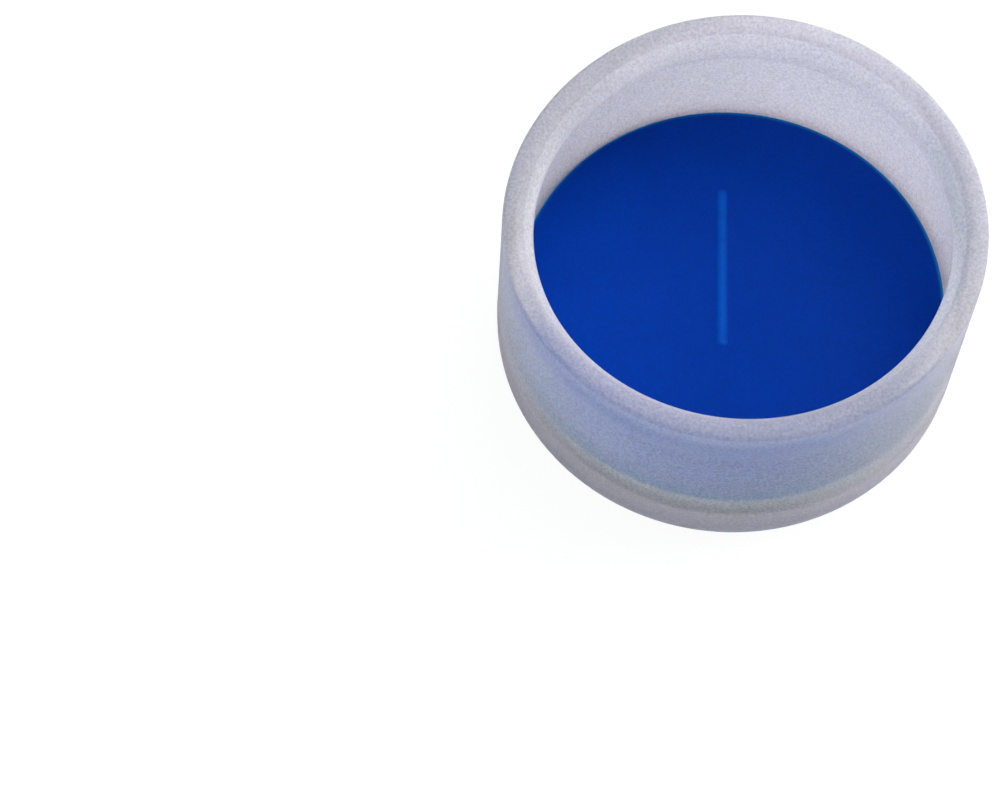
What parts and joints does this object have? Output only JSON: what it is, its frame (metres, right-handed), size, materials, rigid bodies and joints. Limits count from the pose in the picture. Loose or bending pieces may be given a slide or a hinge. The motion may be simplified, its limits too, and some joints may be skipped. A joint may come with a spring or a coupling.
{
  "type": "snap ring vial cap",
  "caption": "Round press-on closure for a vial: a translucent cup-shaped cap with a dished crown, a centre needle hole and an inner bead, lined with a slit white and blue sealing disc.",
  "frame": {"origin": "centre of the crown's outer face, which the cap rests on with its mouth up", "axes": "+Z along the cap's axis, from the crown towards the open mouth; +Y along the slit in the sealing disc"},
  "size_m": [0.012, 0.012, 0.0062],
  "materials": {
    "natural_polyethylene": "milky translucent, satin",
    "white_silicone": "matte",
    "blue_ptfe": "smooth, low sheen"
  },
  "bodies": {
    "root": {"cap_shell": "natural_polyethylene", "silicone_disc": "white_silicone", "ptfe_facing": "blue_ptfe"}
  },
  "joints": []
}
